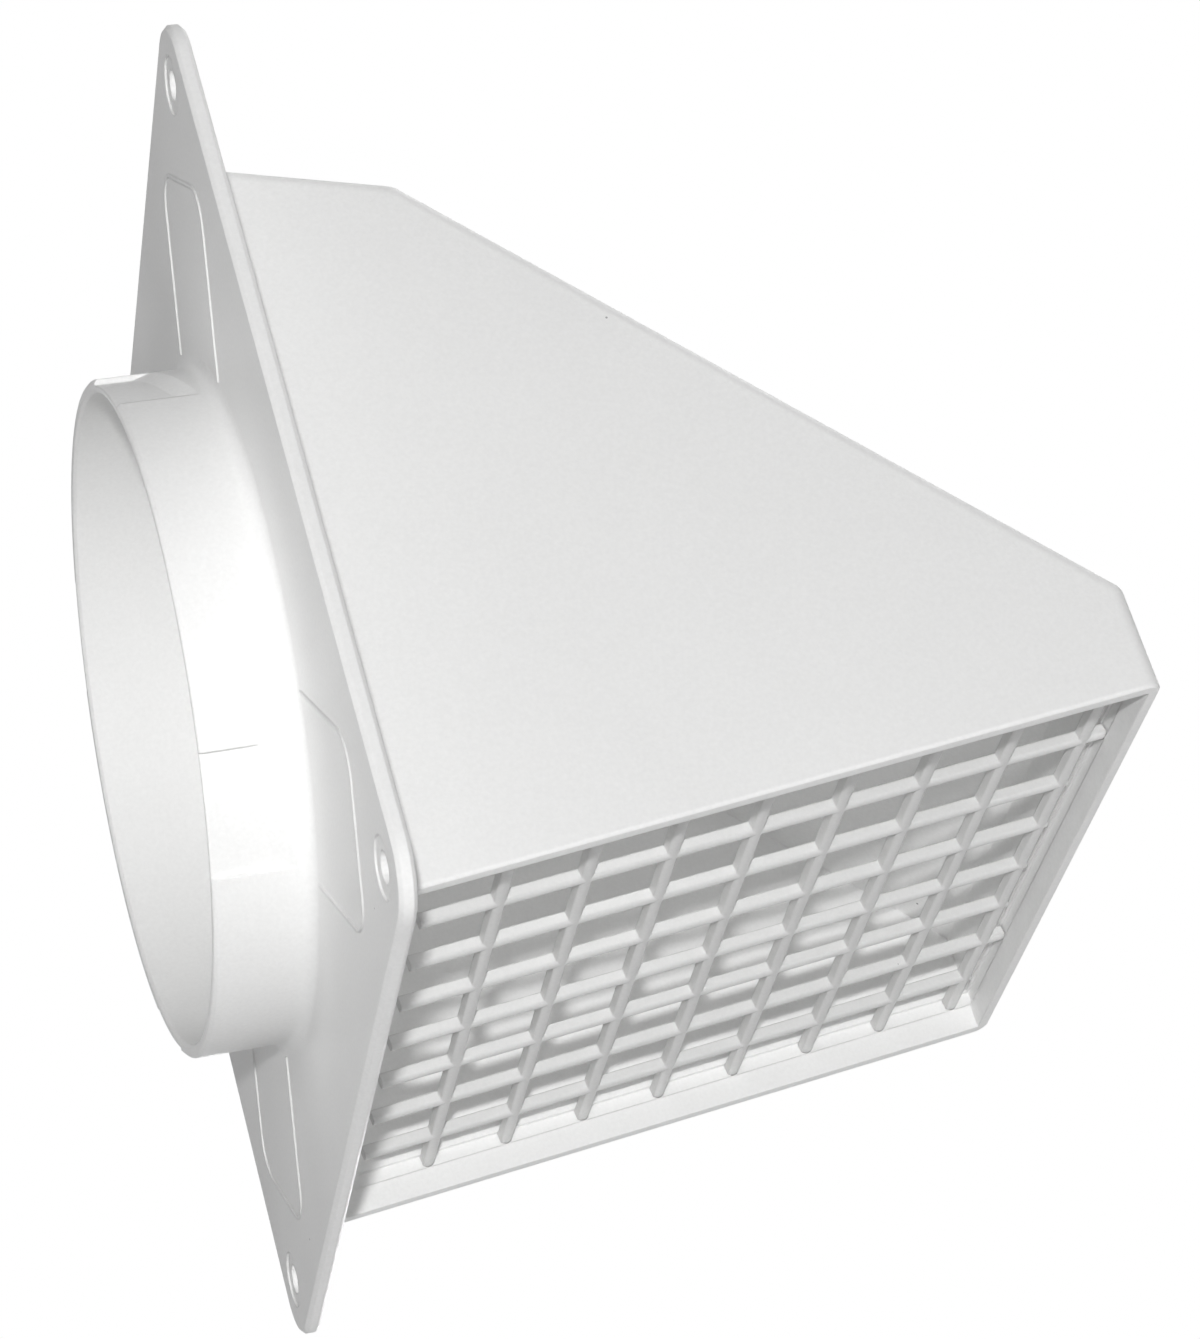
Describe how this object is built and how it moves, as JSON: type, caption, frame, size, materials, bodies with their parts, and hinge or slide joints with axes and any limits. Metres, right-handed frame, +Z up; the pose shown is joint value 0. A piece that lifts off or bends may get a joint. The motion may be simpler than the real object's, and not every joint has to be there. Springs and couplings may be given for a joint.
{
  "type": "dryer vent cap",
  "caption": "Moulded plastic wall hood with a square flange, a short round duct collar behind it, a bird guard in its mouth and a hinged damper flap inside.",
  "frame": {"origin": "on the collar's axis, at the back face of the wall flange", "axes": "+Y into the wall along the collar, -Y out of the wall under the hood, +Z up"},
  "size_m": [0.147, 0.132, 0.147],
  "materials": {
    "housing_plastic": "white moulded plastic with a soft satin gloss",
    "guard_plastic": "white moulded plastic, a little duller than the housing",
    "flap_plastic": "white moulded plastic, fine matte grain"
  },
  "bodies": {
    "housing": {"hood_housing": "housing_plastic", "bird_guard": "guard_plastic"},
    "flap": {"damper_flap": "flap_plastic"}
  },
  "joints": [
    {"name": "damper_hinge", "type": "hinge", "parent": "housing", "child": "flap", "pos_m": [0, -0.00605, 0.05452], "axis": [-1, 0, 0], "range_deg": [0, 48]}
  ]
}
